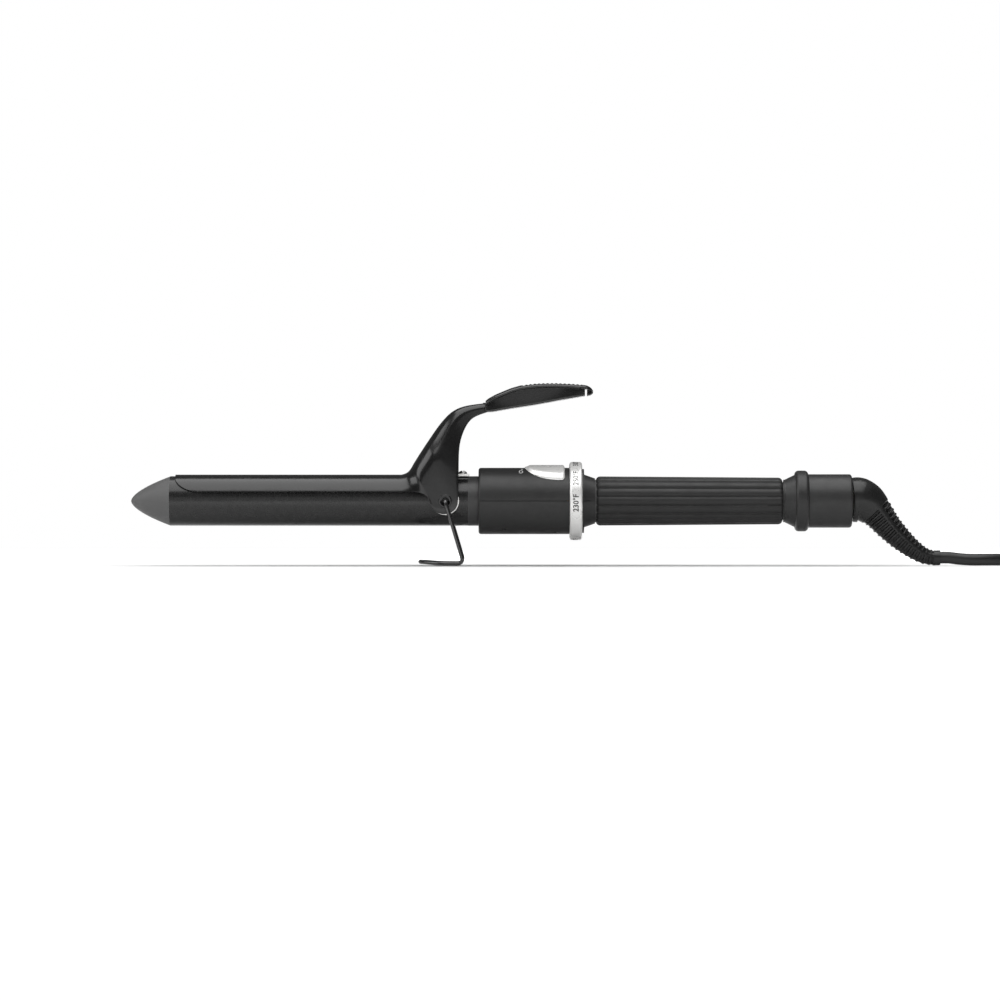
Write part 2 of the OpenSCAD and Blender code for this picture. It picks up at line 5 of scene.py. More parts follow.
import bmesh
import bpy
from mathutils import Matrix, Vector


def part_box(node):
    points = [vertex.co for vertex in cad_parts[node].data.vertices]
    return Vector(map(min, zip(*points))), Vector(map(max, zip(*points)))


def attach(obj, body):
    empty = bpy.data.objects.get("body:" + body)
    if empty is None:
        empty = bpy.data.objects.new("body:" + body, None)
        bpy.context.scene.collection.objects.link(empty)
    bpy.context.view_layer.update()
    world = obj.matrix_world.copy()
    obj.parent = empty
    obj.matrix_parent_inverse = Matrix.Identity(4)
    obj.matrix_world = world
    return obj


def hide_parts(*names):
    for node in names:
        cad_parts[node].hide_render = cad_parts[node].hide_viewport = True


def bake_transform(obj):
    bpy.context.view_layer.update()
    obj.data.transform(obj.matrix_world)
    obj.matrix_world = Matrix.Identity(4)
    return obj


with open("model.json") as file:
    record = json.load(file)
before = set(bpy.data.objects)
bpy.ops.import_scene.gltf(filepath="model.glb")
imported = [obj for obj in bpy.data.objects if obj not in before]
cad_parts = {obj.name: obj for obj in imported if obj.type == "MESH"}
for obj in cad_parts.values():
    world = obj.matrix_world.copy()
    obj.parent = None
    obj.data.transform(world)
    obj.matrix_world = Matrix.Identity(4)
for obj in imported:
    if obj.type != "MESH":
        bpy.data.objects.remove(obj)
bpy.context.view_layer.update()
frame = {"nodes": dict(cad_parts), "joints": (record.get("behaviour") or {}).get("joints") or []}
NODES = frame["nodes"]

# ---------------------------------------------------------------- places, from the frame
MM = 0.001
TIP_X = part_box("cool_tip")[0].x
AXIS_Z = (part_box("barrel")[0].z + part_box("barrel")[1].z) / 2
HINGE = next(j for j in frame["joints"] if j["name"] == "clamp_hinge")["pos_m"]
PIVOT_S = (HINGE[0] - TIP_X) / MM
HOUSING_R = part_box("housing_upper")[1].y / MM
DIAL_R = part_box("dial_ring")[1].y / MM


def at(s, y, h):
    """A point s mm from the tip, y mm across and h mm above the barrel's axis."""
    return Vector((TIP_X + s * MM, y * MM, AXIS_Z + h * MM))


def about_hinge(x, y, z):
    """A point given in mm from the hinge axis."""
    return at(PIVOT_S + x, y, z)


# ---------------------------------------------------------------- camera and stage
FRAME_WIDTH = 0.513
CAMERA_DISTANCE = 2.4
SENSOR = 36.0


def make_camera():
    data = bpy.data.cameras.new("camera")
    data.sensor_width = SENSOR
    data.lens = SENSOR * CAMERA_DISTANCE / FRAME_WIDTH
    data.clip_end = 50
    camera = bpy.data.objects.new("camera", data)
    camera.location = at(189.3, -CAMERA_DISTANCE / MM, 0.5)
    camera.rotation_euler = (math.pi / 2, 0, 0)
    bpy.context.scene.collection.objects.link(camera)
    bpy.context.scene.camera = camera


make_camera()


# ---------------------------------------------------------------- mesh helpers
def piece(name, points, faces, smooth=True):
    """A new mesh object with its faces turned outwards."""
    mesh = bpy.data.meshes.new(name)
    mesh.from_pydata([tuple(p) for p in points], [], faces)
    bm = bmesh.new()
    bm.from_mesh(mesh)
    bmesh.ops.recalc_face_normals(bm, faces=bm.faces)
    bm.to_mesh(mesh)
    bm.free()
    for polygon in mesh.polygons:
        polygon.use_smooth = smooth
    made = bpy.data.objects.new(name, mesh)
    bpy.context.scene.collection.objects.link(made)
    return made


def skin(rings, ends="capped"):
    """Points and faces of a tube through equally long rings, with capped, open or joined ends."""
    count = len(rings[0])
    points = [p for ring in rings for p in ring]
    faces = []
    for i in range(len(rings) if ends == "joined" else len(rings) - 1):
        j = (i + 1) % len(rings)
        for k in range(count):
            n = (k + 1) % count
            faces.append((i * count + k, i * count + n, j * count + n, j * count + k))
    if ends == "capped":
        last = (len(rings) - 1) * count
        faces.append(tuple(range(count - 1, -1, -1)))
        faces.append(tuple(range(last, last + count)))
    return points, faces


def tangents(path):
    """Unit directions along the path, one at each of its points."""
    last = len(path) - 1
    return [(path[min(i + 1, last)] - path[max(i - 1, 0)]).normalized() for i in range(last + 1)]


def frames_along(path, first):
    """A normal carried along the path without twist, with its partner, at each point."""
    found = []
    normal = Vector(first)
    for tangent in tangents(path):
        normal = (normal - normal.dot(tangent) * tangent).normalized()
        found.append((normal.copy(), tangent.cross(normal)))
    return found


def tube_rings(path, radius, sides, first=(0, 0, 1)):
    """Rings round a path; radius is a number, or a function of point index and angle."""
    rings = []
    for i, (p, (n, m)) in enumerate(zip(path, frames_along(path, first))):
        ring = []
        for k in range(sides):
            angle = 2 * math.pi * k / sides
            r = radius(i, angle) if callable(radius) else radius
            ring.append(p + r * (math.cos(angle) * n + math.sin(angle) * m))
        rings.append(ring)
    return rings


def spline(points, steps):
    """A smooth curve through points of any dimension, as lists of floats."""
    last = len(points) - 1
    found = []
    for i in range(last):
        a, b, c, d = (points[j] for j in (max(i - 1, 0), i, i + 1, min(i + 2, last)))
        for k in range(steps):
            t = k / steps
            found.append([
                0.5 * (2 * q + (r - p) * t + (2 * p - 5 * q + 4 * r - s) * t * t
                       + (3 * q - p - 3 * r + s) * t ** 3)
                for p, q, r, s in zip(a, b, c, d)
            ])
    found.append(list(points[-1]))
    return found


def lookup(table, x):
    """Straight interpolation in a short list of (x, value)."""
    if x <= table[0][0]:
        return table[0][1]
    for (x0, v0), (x1, v1) in zip(table, table[1:]):
        if x <= x1:
            return v0 + (v1 - v0) * (x - x0) / (x1 - x0)
    return table[-1][1]


def smoothstep(t):
    """0 below t = 0, 1 above t = 1, and a smooth rise between them."""
    t = min(max(t, 0.0), 1.0)
    return t * t * (3 - 2 * t)


def bevelled(obj, width_mm, segments=3, angle=30):
    """Adds a bevel on every edge sharper than angle degrees."""
    bevel = obj.modifiers.new("bevel", "BEVEL")
    bevel.width = width_mm * MM
    bevel.segments = segments
    bevel.limit_method = "ANGLE"
    bevel.angle_limit = math.radians(angle)
    return obj


def settle(obj):
    """Applies the object's modifiers to its mesh."""
    graph = bpy.context.evaluated_depsgraph_get()
    mesh = bpy.data.meshes.new_from_object(obj.evaluated_get(graph))
    obj.modifiers.clear()
    obj.data = mesh
    return obj


def smooth_shaded(obj):
    for polygon in obj.data.polygons:
        polygon.use_smooth = True
    return obj


def cut(obj, lowest, highest):
    """Cuts a box out of obj."""
    (x0, y0, z0), (x1, y1, z1) = lowest, highest
    corners = [Vector((x, y, z)) for x in (x0, x1) for y in (y0, y1) for z in (z0, z1)]
    sides = [(0, 1, 3, 2), (4, 6, 7, 5), (0, 4, 5, 1), (2, 3, 7, 6), (0, 2, 6, 4), (1, 5, 7, 3)]
    cutter = piece("cutter", corners, sides, smooth=False)
    difference = obj.modifiers.new("cut", "BOOLEAN")
    difference.operation = "DIFFERENCE"
    difference.solver = "EXACT"
    difference.object = cutter
    settle(obj)
    bpy.data.objects.remove(cutter)
    return obj


# ---------------------------------------------------------------- materials
class Nodes:
    """Short calls that add nodes to a material and link them."""

    def __init__(self, name):
        self.material = bpy.data.materials.new(name)
        self.material.use_nodes = True
        self.tree = self.material.node_tree
        self.shader = self.tree.nodes["Principled BSDF"]
        self.where = self.add("ShaderNodeTexCoord").outputs["Object"]

    def add(self, kind, **sockets):
        node = self.tree.nodes.new(kind)
        for key, value in sockets.items():
            self.put(node.inputs[key], value)
        return node

    def put(self, socket, value):
        if isinstance(value, bpy.types.NodeSocket):
            self.tree.links.new(value, socket)
        else:
            socket.default_value = value

    def noise(self, scale, detail=3.0, roughness=0.55, stretch=(1, 1, 1)):
        placed = self.add("ShaderNodeMapping", Vector=self.where)
        placed.inputs["Scale"].default_value = stretch
        found = self.add("ShaderNodeTexNoise", Vector=placed.outputs[0], Scale=scale, Detail=detail)
        found.inputs["Roughness"].default_value = roughness
        return found.outputs["Fac"]

    def ranged(self, value, low, high, at_low=0.3, at_high=0.7):
        found = self.add("ShaderNodeMapRange", Value=value)
        limits = {"From Min": at_low, "From Max": at_high, "To Min": low, "To Max": high}
        for key, number in limits.items():
            found.inputs[key].default_value = number
        return found.outputs["Result"]

    def mixed(self, share, first, second):
        found = self.add("ShaderNodeMix")
        found.data_type = "RGBA"
        self.put(found.inputs["Factor"], share)
        self.put(found.inputs[6], first)
        self.put(found.inputs[7], second)
        return found.outputs[2]

    def bump(self, height, strength, distance_mm, below=None):
        found = self.add("ShaderNodeBump", Height=height, Strength=strength, Distance=distance_mm * MM)
        if below is not None:
            self.put(found.inputs["Normal"], below)
        return found.outputs["Normal"]


def grey(level, tint=(1.0, 1.0, 1.0)):
    return (level * tint[0], level * tint[1], level * tint[2], 1.0)


def surface(name, color, roughness, metallic=0.0, spread=0.12, grain=3000.0, grain_depth=0.02,
            grain_strength=0.25, rough_spread=0.06, wear=0.0, coat=0.0, specular=0.36,
            stretch=(1, 1, 1)):
    """A finish with uneven tone and gloss, a fine grain, and paler worn edges."""
    n = Nodes(name)
    cloud = n.noise(60.0, 4.0)
    darker = tuple(c * (1 - spread) for c in color[:3]) + (1.0,)
    paler = tuple(min(c * (1 + spread), 1.0) for c in color[:3]) + (1.0,)
    tone = n.mixed(n.ranged(cloud, 0.0, 1.0), darker, paler)
    if wear:
        edges = n.add("ShaderNodeNewGeometry").outputs["Pointiness"]
        rubbed = n.add("ShaderNodeMath")
        rubbed.operation = "MULTIPLY"
        n.put(rubbed.inputs[0], n.ranged(edges, 0.0, wear, 0.52, 0.62))
        n.put(rubbed.inputs[1], n.ranged(n.noise(400.0), 0.2, 1.0))
        worn = tuple(min(c * 2.2 + 0.05, 1.0) for c in color[:3]) + (1.0,)
        tone = n.mixed(rubbed.outputs[0], tone, worn)
    n.put(n.shader.inputs["Base Color"], tone)
    smudge = n.noise(140.0, 5.0, 0.6)
    n.put(n.shader.inputs["Roughness"],
          n.ranged(smudge, max(roughness - rough_spread, 0.03), roughness + rough_spread))
    fine = n.noise(grain, 2.0, stretch=stretch)
    n.put(n.shader.inputs["Normal"], n.bump(fine, grain_strength, grain_depth))
    n.shader.inputs["Metallic"].default_value = metallic
    n.shader.inputs["Specular IOR Level"].default_value = specular
    n.shader.inputs["Coat Weight"].default_value = coat
    n.shader.inputs["Coat Roughness"].default_value = 0.12
    return n.material


def woven(name, color):
    """A hook-and-loop strap: crossed threads under a little fuzz."""
    n = Nodes(name)
    threads = []
    for stretch in ((1, 0, 0), (0, 1, 1)):
        placed = n.add("ShaderNodeMapping", Vector=n.where)
        placed.inputs["Scale"].default_value = stretch
        wave = n.add("ShaderNodeTexWave", Vector=placed.outputs[0], Scale=420.0, Distortion=1.5)
        wave.inputs["Detail Scale"].default_value = 4.0
        wave.bands_direction = "DIAGONAL"
        threads.append(wave.outputs["Fac"])
    crossed = n.add("ShaderNodeMath")
    crossed.operation = "MAXIMUM"
    n.put(crossed.inputs[0], threads[0])
    n.put(crossed.inputs[1], threads[1])
    dark = tuple(c * 0.5 for c in color[:3]) + (1.0,)
    n.put(n.shader.inputs["Base Color"], n.mixed(crossed.outputs[0], dark, color))
    n.put(n.shader.inputs["Roughness"], n.ranged(n.noise(900.0), 0.75, 0.95))
    n.put(n.shader.inputs["Normal"], n.bump(crossed.outputs[0], 0.6, 0.15))
    n.shader.inputs["Sheen Weight"].default_value = 0.3
    return n.material


BARREL = surface("satin_black_coating", grey(0.006), 0.24, spread=0.1, grain=3600, grain_depth=0.003,
                 grain_strength=0.08, rough_spread=0.04, wear=0.15, specular=0.4)
CLAMP = surface("semigloss_black_coating", grey(0.007), 0.2, spread=0.15, grain=2200,
                grain_depth=0.006, grain_strength=0.12, rough_spread=0.05, wear=0.3, specular=0.45)
TIP = surface("heatproof_grey_plastic", grey(0.085), 0.55, spread=0.08, grain=4200,
              grain_depth=0.02, grain_strength=0.25)
COLLAR = surface("dark_grey_plastic", grey(0.04), 0.42, grain=4200, grain_depth=0.015)
HOUSING = surface("fine_matte_black_plastic", grey(0.015), 0.44, spread=0.1, grain=5200,
                  grain_depth=0.02, grain_strength=0.28, wear=0.12)
FERRULE = surface("matte_black_plastic", grey(0.018), 0.42, spread=0.1, grain=5200,
                  grain_depth=0.02, grain_strength=0.28, wear=0.12)
GRIP = surface("soft_touch_rubber", grey(0.015), 0.52, spread=0.14, grain=4600, grain_depth=0.03,
               grain_strength=0.35, rough_spread=0.08)
THUMB = surface("glossy_black_plastic", grey(0.008), 0.2, spread=0.15, grain=3000,
                grain_depth=0.004, grain_strength=0.1, wear=0.1, coat=0.3)
RELIEF_RUBBER = surface("satin_black_rubber", grey(0.011), 0.3, spread=0.15, grain=3600,
                        grain_depth=0.012, grain_strength=0.2, rough_spread=0.07)
CORD = surface("cord_jacket", grey(0.014), 0.38, spread=0.18, grain=3200, grain_depth=0.015,
               rough_spread=0.08)
WIRE = surface("glossy_black_wire", grey(0.008), 0.14, spread=0.2, grain=2400, grain_depth=0.004,
               grain_strength=0.1, wear=0.2, coat=1.0)
SILVER = surface("satin_silver_paint", grey(0.78, (1.0, 0.995, 0.98)), 0.3, metallic=0.4,
                 spread=0.05, grain=900, grain_depth=0.01, grain_strength=0.18, stretch=(9, 0.4, 0.4))
STEEL = surface("bright_plated_steel", grey(0.62, (1.0, 0.99, 0.97)), 0.24, metallic=1.0,
                spread=0.1, grain=1500, grain_depth=0.006, stretch=(1, 6, 1))
STUD_BLACK = surface("black_oxide_steel", grey(0.05), 0.22, metallic=1.0, spread=0.2, grain=2400,
                     grain_depth=0.006, wear=0.25)
DARK_STEEL = surface("dark_plated_steel", grey(0.12), 0.28, metallic=1.0, spread=0.15, grain=1800,
                     grain_depth=0.006, wear=0.2)
ALUMINIUM = surface("cast_aluminium", grey(0.7), 0.4, metallic=1.0, grain=1500)
CERAMIC = surface("white_ceramic", grey(0.72, (1.0, 0.98, 0.93)), 0.5, grain=2500)
TAN = surface("tan_ceramic", (0.5, 0.38, 0.24, 1), 0.6, grain=2500)
AMBER = surface("amber_glass_bead", (0.55, 0.2, 0.03, 1), 0.2, grain=2500)
IVORY = surface("ivory_plastic", (0.62, 0.59, 0.48, 1), 0.45, grain=4000)
GREEN = surface("green_board", (0.02, 0.16, 0.07, 1), 0.35, grain=3000)
GREY = surface("grey_plastic", grey(0.07), 0.5, grain=4000)
COPPER = surface("bronze_contact", (0.6, 0.36, 0.16, 1), 0.3, metallic=1.0, grain=1500)
BROWN = surface("brown_track", (0.09, 0.045, 0.02, 1), 0.6, grain=3000)
PLUG = surface("moulded_vinyl", grey(0.018), 0.42, spread=0.14, grain=3800, grain_depth=0.02)
PRINT = surface("printed_mark", grey(0.03), 0.5, spread=0.2, grain=3000, grain_depth=0.003)
PALE_PRINT = surface("pale_printed_mark", grey(0.5), 0.5, spread=0.1, grain=3000, grain_depth=0.003)
STRAP = woven("strap_weave", grey(0.02))

FINISHES = {
    BARREL: ["barrel"], TIP: ["cool_tip"], COLLAR: ["barrel_collar"],
    STEEL: ["hinge_bracket", "bracket_screw", "spring_pin", "thumb_rest_screws",
            "swivel_clip", "plug_blades", "thermal_fuse"],
    DARK_STEEL: ["pivot_stud_near", "pivot_stud_far", "housing_screws"],
    HOUSING: ["housing_upper", "housing_lower"], FERRULE: ["rear_ferrule", "swivel_housing"],
    SILVER: ["dial_ring"], ALUMINIUM: ["heater_shell_upper", "heater_shell_lower"],
    CERAMIC: ["tip_insulator", "heater_leads"], TAN: ["heater_plate"], AMBER: ["temperature_sensor"],
    IVORY: ["switch_actuator", "brush_holder", "swivel_stem"], GREEN: ["circuit_board"],
    GREY: ["switch_body", "handle_core"], COPPER: ["dial_wiper", "brush_contacts", "slip_rings"],
    BROWN: ["dial_track"], CORD: ["mains_leads"],
}


def finish_cad_nodes():
    for material, names in FINISHES.items():
        for name in names:
            mesh = NODES[name].data
            mesh.materials.clear()
            mesh.materials.append(material)


def placed(obj, material, body, slot, *stands_for):
    """Gives a new piece its material and its body and hides the CAD nodes it stands for; slot is not
    used.
    """
    obj.data.materials.clear()
    obj.data.materials.append(material)
    if body:
        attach(obj, body)
    if stands_for:
        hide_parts(*stands_for)
    return obj


# ---------------------------------------------------------------- cord
# the cord's points are in mm in the frame's own axes, with z above the floor
CORD_D = 6.0
EXIT = (207.5, 0, 4)
HIDDEN_END = 6
RUN = [
    (EXIT[0] + 0.3, 0, EXIT[2]), (212, 0, 4), (217, 0, 3.4), (223, 0.1, 3), (230, 0.8, 3),
    (237, 2.7, 3), (244, 6, 3), (252, 12, 3), (260, 18, 3), (267, 21.3, 3), (274, 23.2, 3),
    (282, 24, 3),
]
TAIL = [(309, 17.6, 16.4), (319, 16, 19), (329, 12.6, 22.6), (337, 9.4, 25.4), (342, 8.1, 26.2),
        (346, 8, 26.2)]
HANK_X = (299, 399)
SIDE_STEPS = 4
TURN_RADII = [24, 18, 18, 24, 24, 18]
TURN_HEIGHTS = [3, 3, 9.2, 9.2, 15.4, 15.4]
ARC_STEPS = 14


def hank_points():
    """The turns of the hank: out along +Y, round the far end, back, and round the near end."""
    near, far = HANK_X
    points = []
    for turn in range(len(TURN_RADII) - 1):
        r, next_r = TURN_RADII[turn:turn + 2]
        z, next_z = TURN_HEIGHTS[turn:turn + 2]
        points += [(near + (far - near) * k / SIDE_STEPS, r, z) for k in range(SIDE_STEPS)]
        for k in range(ARC_STEPS):
            angle = math.pi * k / ARC_STEPS
            points.append((far + r * math.sin(angle), r * math.cos(angle), z))
        points += [(far + (near - far) * k / SIDE_STEPS, -r, z) for k in range(SIDE_STEPS)]
        for k in range(ARC_STEPS):
            share = k / ARC_STEPS
            radius = r + (next_r - r) * smoothstep((share - 0.6) / 0.4)
            height = z + (next_z - z) * smoothstep(share / 0.6)
            angle = math.pi * share
            points.append((near - radius * math.sin(angle), -radius * math.cos(angle), height))
    points.append((near, TURN_RADII[-1], TURN_HEIGHTS[-1]))
    return points


def make_cord():
    """The cord as one tube from inside the strain relief to the plug."""
    inside = [(EXIT[0] - HIDDEN_END, EXIT[1], EXIT[2])]
    route = [Vector(p) * MM for p in spline(inside + RUN + hank_points() + TAIL, 2)]
    points, faces = skin(tube_rings(route, CORD_D / 2 * MM, 20))
    cord = piece("cord", points, faces)
    cord.data.materials.append(CORD)
    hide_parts("cord_run", "cord_hank", "cord_tail")
    exit_point = Vector(EXIT) * MM
    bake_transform(cord)
    return cord, route, exit_point


def rounded_rectangle(width, height, corner, steps=6):
    """Points (y, z) round a rectangle centred on zero."""
    found = []
    for quarter, (sy, sz) in enumerate(((1, 1), (-1, 1), (-1, -1), (1, -1))):
        for k in range(steps + 1):
            angle = math.pi / 2 * (quarter + k / steps)
            found.append((sy * (width / 2 - corner) + corner * math.cos(angle),
                          sz * (height / 2 - corner) + corner * math.sin(angle)))
    return found


ENTRY_D, ENTRY_LENGTH, ENTRY_PITCH, ENTRY_RING = 8, 9, 2.2, 0.35
FINGER_START, FINGER_END, FINGER_PITCH, FINGER_DEPTH = 19, 30, 2.75, 0.45
FLARE_START, FLARE_LENGTH = 5, 13
FACE_ROUND, FACE_SHRINK = 1.2, 0.8


def make_plug():
    """The moulded plug: a tapered body with finger ridges and a ringed cord entry."""
    low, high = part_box("plug_body")
    middle = (low + high) / 2
    length = (high.x - low.x) / MM
    full_y, full_z = (high.y - low.y) / MM, (high.z - low.z) / MM
    rings = []
    steps = 70
    for k in range(steps + 1):
        x = length * k / steps
        grown = smoothstep((x - FLARE_START) / FLARE_LENGTH)
        ridge = 0.0
        if x < ENTRY_LENGTH:
            ridge = ENTRY_RING * (math.cos(2 * math.pi * x / ENTRY_PITCH) > 0)
        elif FINGER_START < x < FINGER_END:
            wave = math.sin(2 * math.pi * (x - FINGER_START) / FINGER_PITCH)
            ridge = -FINGER_DEPTH * max(0.0, wave) ** 2
        shrink = FACE_SHRINK * smoothstep((x - length + FACE_ROUND) / FACE_ROUND) ** 2
        width = ENTRY_D + (full_y - ENTRY_D) * grown + 2 * (ridge - shrink)
        height = ENTRY_D + (full_z - ENTRY_D) * grown - 2 * shrink
        corner = min(3.98 + 0.02 * grown, width / 2 - 0.01, height / 2 - 0.01)
        rings.append([Vector((low.x + x * MM, middle.y + y * MM, middle.z + z * MM))
                      for y, z in rounded_rectangle(width, height, corner)])
    points, faces = skin(rings)
    return placed(piece("plug_shell", points, faces), PLUG, "iron", "plug_vinyl", "plug_body")


TIE_WALL, TIE_CORNER = 1.3, 5
TIE_RIM, TIE_RIM_SCALE = 0.25, 0.9917
LAP_START, LAP_LENGTH, LAP_STEPS = 4, 16, 12
LAP_THICK, LAP_THINNING, LAP_SINK = 0.9, 0.5, 0.1


def make_tie():
    """A woven strap round the hank, with its loose end lapped on top."""
    low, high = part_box("cord_tie")
    middle = (low + high) / 2
    width, height = (high.y - low.y) / MM, (high.z - low.z) / MM
    rim = TIE_RIM * MM
    outline = rounded_rectangle(width, height, TIE_CORNER)
    inner = rounded_rectangle(width - 2 * TIE_WALL, height - 2 * TIE_WALL, TIE_CORNER - TIE_WALL)
    loops = [(low.x, outline, TIE_RIM_SCALE), (low.x + rim, outline, 1), (high.x - rim, outline, 1),
             (high.x, outline, TIE_RIM_SCALE), (high.x, inner, 1), (low.x, inner, 1)]
    rings = [[Vector((x, middle.y + y * scale * MM, middle.z + z * scale * MM)) for y, z in loop]
             for x, loop, scale in loops]
    points, faces = skin(rings, ends="joined")
    strap = placed(piece("tie_strap", points, faces), STRAP, "iron", "tie_strap", "cord_tie")
    lap_rings = []
    near, far = low.x + 1 * MM, high.x - 1 * MM
    for k in range(LAP_STEPS + 1):
        y = LAP_START + LAP_LENGTH * k / LAP_STEPS
        lift = LAP_THICK - LAP_THINNING * smoothstep((k - LAP_STEPS + 2) / 2)
        lap_rings.append([Vector((x, middle.y + y * MM, high.z + (z - LAP_SINK) * MM))
                          for x, z in ((near, 0), (far, 0), (far, lift), (near, lift))])
    points, faces = skin(lap_rings)
    lap = bevelled(piece("tie_lap", points, faces, smooth=False), 0.2)
    placed(settle(lap), STRAP, "iron", "tie_strap")
    return strap, lap


cord, cord_path, cord_exit = make_cord()
plug = make_plug()
tie, tie_lap = make_tie()


# ---------------------------------------------------------------- clamp and its lever arm
SPOON_R = 13.5
SPOON_CORNER = 13.2
SPOON_DEPTH = 9.0
SPOON_FRONT = 22.8
SPOON_ROUND = 14.1
SHEET = 0.7
# web point x, z; free edge x, z; half width; corner radius; all in mm from the hinge axis
ARM = [
    (-22.5, 13.5, -22.5, 4.5, 13.5, 13.2), (-20.4, 14.1, -16, 4.6, 13.7, 12.9),
    (-18.9, 15.1, -11.5, 3.9, 14.0, 12.4), (-17.6, 16.7, -8.4, 1.4, 14.3, 12.0),
    (-16.5, 18.7, -6.9, -2.8, 14.4, 11.7), (-15.3, 20.7, -4.6, -5.7, 14.4, 11.5),
    (-14.1, 22.6, -0.2, -7, 14.4, 11.4), (-12.9, 24.5, 4.3, -5.3, 14.4, 11.3),
    (-11.7, 26.3, 6.6, -1.5, 14.4, 11.2), (-10.1, 28.8, 6.7, 8, 14.2, 11.1),
    (-8, 31.9, 6.7, 17, 13.0, 10.8), (-4, 37.8, 6.9, 26, 11.2, 9.4),
    (0.5, 43.2, 8, 32.4, 9.6, 7.4), (4.7, 46.6, 10.7, 38.9, 8.4, 5.5),
    (10.7, 48.9, 14.5, 43.2, 7.4, 4), (20.5, 50.1, 21.5, 45.6, 6.6, 3),
]
ACROSS = 14
SPOON_STEPS = 12


def half_section(half_width, corner, depth):
    """Points (across, depth) of half of the sheet's section, from its crown to its free edge."""
    turn = math.acos(1 - min(0.92 * depth, corner) / corner)
    points = []
    for k in range(ACROSS + 1):
        angle = turn * k / ACROSS
        points.append((half_width - corner + corner * math.sin(angle), corner * (1 - math.cos(angle))))
    arc_end = points[-1][1]
    for k in range(1, 7):
        h = arc_end + (depth - arc_end) * k / 6
        short = corner - math.sqrt(max(corner ** 2 - max(corner - h, 0) ** 2, 0))
        points.append((half_width - short, h))
    return points


def softened(rows, passes):
    """Evens out small waves along a list of rows and keeps its two ends."""
    for _ in range(passes):
        rows = [rows[0]] + [[(a + 2 * b + c) / 4 for a, b, c in zip(*three)]
                            for three in zip(rows, rows[1:], rows[2:])] + [rows[-1]]
    return rows


def make_clamp():
    """The sheet of the clamp: a spoon with a round front end, its ears and the lever arm."""
    stations = []
    for k in range(SPOON_STEPS + 1):
        angle = math.radians(10 + 80 * k / SPOON_STEPS)
        x = SPOON_FRONT + SPOON_ROUND * (1 - math.cos(angle)) - PIVOT_S
        depth = SPOON_DEPTH * math.sin(angle)
        stations.append((x, SPOON_R, x, SPOON_R - depth, SPOON_R, SPOON_CORNER))
    straight = [(x, SPOON_R, x, SPOON_R - SPOON_DEPTH, SPOON_R, SPOON_CORNER)
                for x in (-110, -80, -50, -28)]
    stations += straight + softened(spline(ARM, 4), 4)
    rows = []
    for px, pz, qx, qz, half_width, corner in stations:
        web, reach = Vector((px, 0, pz)), Vector((qx - px, 0, qz - pz))
        down = reach.normalized()
        half = half_section(half_width, corner, reach.length)
        row = [(-y, h) for y, h in reversed(half)] + [(y, h) for y, h in half]
        rows.append([about_hinge(*(web + Vector((0, y, 0)) + down * h)) for y, h in row])
    count = len(rows[0])
    points = [p for row in rows for p in row]
    faces = [(i * count + k, i * count + k + 1, (i + 1) * count + k + 1, (i + 1) * count + k)
             for i in range(len(rows) - 1) for k in range(count - 1)]
    clamp = piece("clamp_sheet", points, faces)
    crown = clamp.data.polygons[(count - 1) * (SPOON_STEPS + 2) + count // 2]
    solid = clamp.modifiers.new("sheet", "SOLIDIFY")
    solid.thickness = SHEET * MM
    solid.offset = -1 if crown.normal.z > 0 else 1
    bevelled(clamp, 0.16, 2, 50)
    placed(smooth_shaded(settle(clamp)), CLAMP, "clamp", "clamp_coating", "clamp")


def make_tongue():
    """The end of the lever arm inside the thumb rest."""
    rings = []
    for s, half_width in ((180.5, 5.2), (182, 5.6), (184, 5.8), (204.5, 5.8), (206, 4.8)):
        rings.append([at(s, y, z) for y, z in ((-half_width, 49.2), (half_width, 49.2),
                                               (half_width, 50.3), (-half_width, 50.3))])
    points, faces = skin(rings)
    tongue = bevelled(piece("lever_tongue", points, faces, smooth=False), 0.2)
    placed(settle(tongue), CLAMP, "clamp", "clamp_coating")


# ---------------------------------------------------------------- thumb rest
# outlines in mm: distance from the tip, then height above the barrel's axis or half width
THUMB_TOP = [(181.9, 51.4), (183.4, 52.6), (187, 54.6), (190.8, 56.2), (195, 57.9), (199.5, 59.2),
             (204, 59.9), (208, 60.3), (213, 60.5), (218.3, 60.5), (225.4, 60.2), (231, 59.8),
             (234, 59.2), (235.4, 58.5), (236.4, 57.6), (237, 56.6)]
THUMB_BOTTOM = [(181.9, 45.5), (185.7, 45.7), (194.7, 47.3), (206.5, 49.1), (220, 51.6),
                (232, 53.7), (234.4, 53.9), (235.8, 54.2), (236.6, 54.7), (237, 55.3)]
THUMB_WIDTH = [(181.9, 7.4), (184, 7.9), (190, 8.5), (200, 9), (226, 9), (230, 8.6), (233, 7.8),
               (234.5, 7.2), (235.6, 6.3), (236.4, 5.2), (237, 3.4)]
RIB_START, RIB_END, RIB_PITCH, RIB_HEIGHT = 200.5, 232.0, 2.2, 0.4


THUMB_START, THUMB_END, THUMB_STEPS = 181.9, 237.0, 150
SLOT_LOW, SLOT_HIGH = (232.8, -12, 52), (234.0, 12, 57.2)


